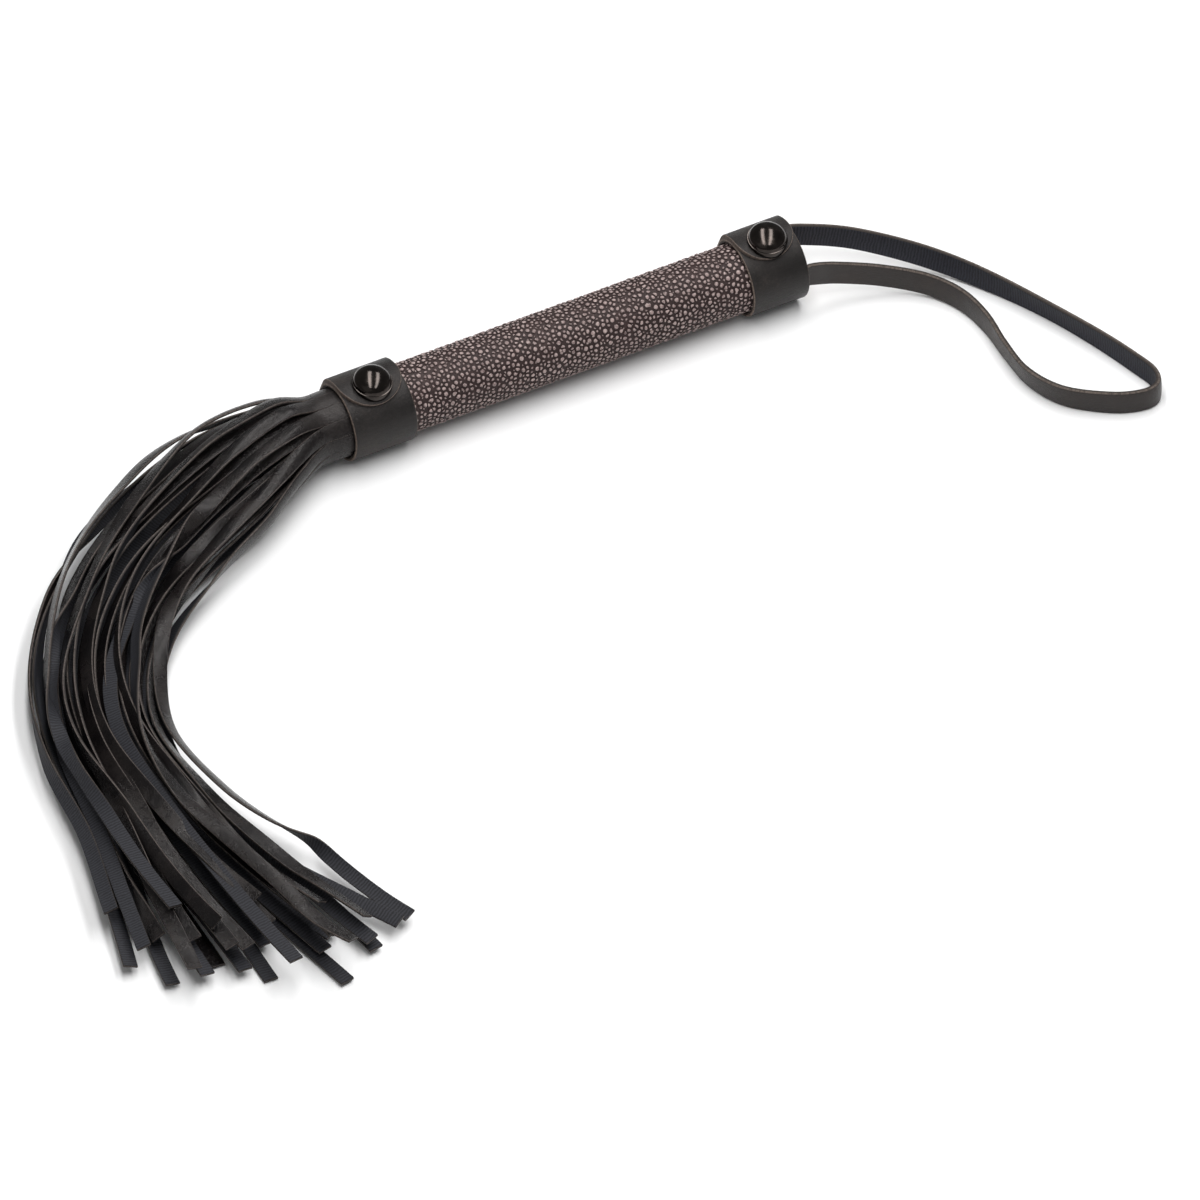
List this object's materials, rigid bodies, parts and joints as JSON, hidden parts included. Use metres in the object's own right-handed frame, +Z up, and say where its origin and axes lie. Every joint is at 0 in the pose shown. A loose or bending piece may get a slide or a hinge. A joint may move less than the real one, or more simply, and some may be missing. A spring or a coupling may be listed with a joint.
{
  "type": "many-tailed leather whip",
  "caption": "Short many-tailed leather whip: a pebbled round handle with a studded collar at each end, a bundle of flat leather falls and a flat wrist strap.",
  "frame": {"origin": "on the surface the whip lies on, under the middle of the handle and of the uncut hide that shows at its mouth", "axes": "+X along the handle from the falls to the wrist strap, +Z up, so that +Y is to the left when looking from the falls to the strap"},
  "size_m": [0.5097, 0.2866, 0.0394],
  "materials": {
    "dowel_wood": "turned beech, sanded",
    "pebbled_leather": "pebbled grain with pale worn tops",
    "collar_leather": "smooth satin with pale cut edges",
    "fall_leather": "soft satin grain outside, napped flesh inside",
    "strap_leather": "satin grain outside, suede inside",
    "stud_metal": "polished gunmetal",
    "fixing_steel": "bright drawn steel"
  },
  "bodies": {
    "handle": {"butt_collar": "collar_leather", "butt_stud_cap": "stud_metal", "butt_stud_screw": "fixing_steel", "core_dowel": "dowel_wood", "handle_wrap": "pebbled_leather", "hide_inner": "fall_leather", "hide_middle": "fall_leather", "hide_outer": "fall_leather", "strap_tack_far": "fixing_steel", "strap_tack_near": "fixing_steel", "tail_collar": "collar_leather", "tail_stud_cap": "stud_metal", "tail_stud_screw": "fixing_steel"},
    "tails": {"fall_inner_01": "fall_leather", "fall_inner_02": "fall_leather", "fall_inner_03": "fall_leather", "fall_inner_04": "fall_leather", "fall_inner_05": "fall_leather", "fall_inner_06": "fall_leather", "fall_inner_07": "fall_leather", "fall_inner_08": "fall_leather", "fall_inner_09": "fall_leather", "fall_inner_10": "fall_leather", "fall_middle_01": "fall_leather", "fall_middle_02": "fall_leather", "fall_middle_03": "fall_leather", "fall_middle_04": "fall_leather", "fall_middle_05": "fall_leather", "fall_middle_06": "fall_leather", "fall_middle_07": "fall_leather", "fall_middle_08": "fall_leather", "fall_middle_09": "fall_leather", "fall_middle_10": "fall_leather", "fall_middle_11": "fall_leather", "fall_middle_12": "fall_leather", "fall_outer_01": "fall_leather", "fall_outer_02": "fall_leather", "fall_outer_03": "fall_leather", "fall_outer_04": "fall_leather", "fall_outer_05": "fall_leather", "fall_outer_06": "fall_leather", "fall_outer_07": "fall_leather", "fall_outer_08": "fall_leather", "fall_outer_09": "fall_leather", "fall_outer_10": "fall_leather", "fall_outer_11": "fall_leather", "fall_outer_12": "fall_leather", "fall_outer_13": "fall_leather"},
    "strap": {"wrist_strap": "strap_leather"}
  },
  "joints": [
    {"name": "tails_lift", "type": "hinge", "parent": "handle", "child": "tails", "pos_m": [-0.1035, 0, 0.0161], "axis": [0, 1, 0], "range_deg": [0, 60], "deforming": ["fall_inner_01", "fall_inner_02", "fall_inner_03", "fall_inner_04", "fall_inner_05", "fall_inner_06", "fall_inner_07", "fall_inner_08", "fall_inner_09", "fall_inner_10", "fall_middle_01", "fall_middle_02", "fall_middle_03", "fall_middle_04", "fall_middle_05", "fall_middle_06", "fall_middle_07", "fall_middle_08", "fall_middle_09", "fall_middle_10", "fall_middle_11", "fall_middle_12", "fall_outer_01", "fall_outer_02", "fall_outer_03", "fall_outer_04", "fall_outer_05", "fall_outer_06", "fall_outer_07", "fall_outer_08", "fall_outer_09", "fall_outer_10", "fall_outer_11", "fall_outer_12", "fall_outer_13"]},
    {"name": "strap_swing", "type": "hinge", "parent": "handle", "child": "strap", "pos_m": [0.1035, 0, 0.0161], "axis": [0, 0, 1], "range_deg": [-20, 70], "deforming": ["wrist_strap"]}
  ]
}
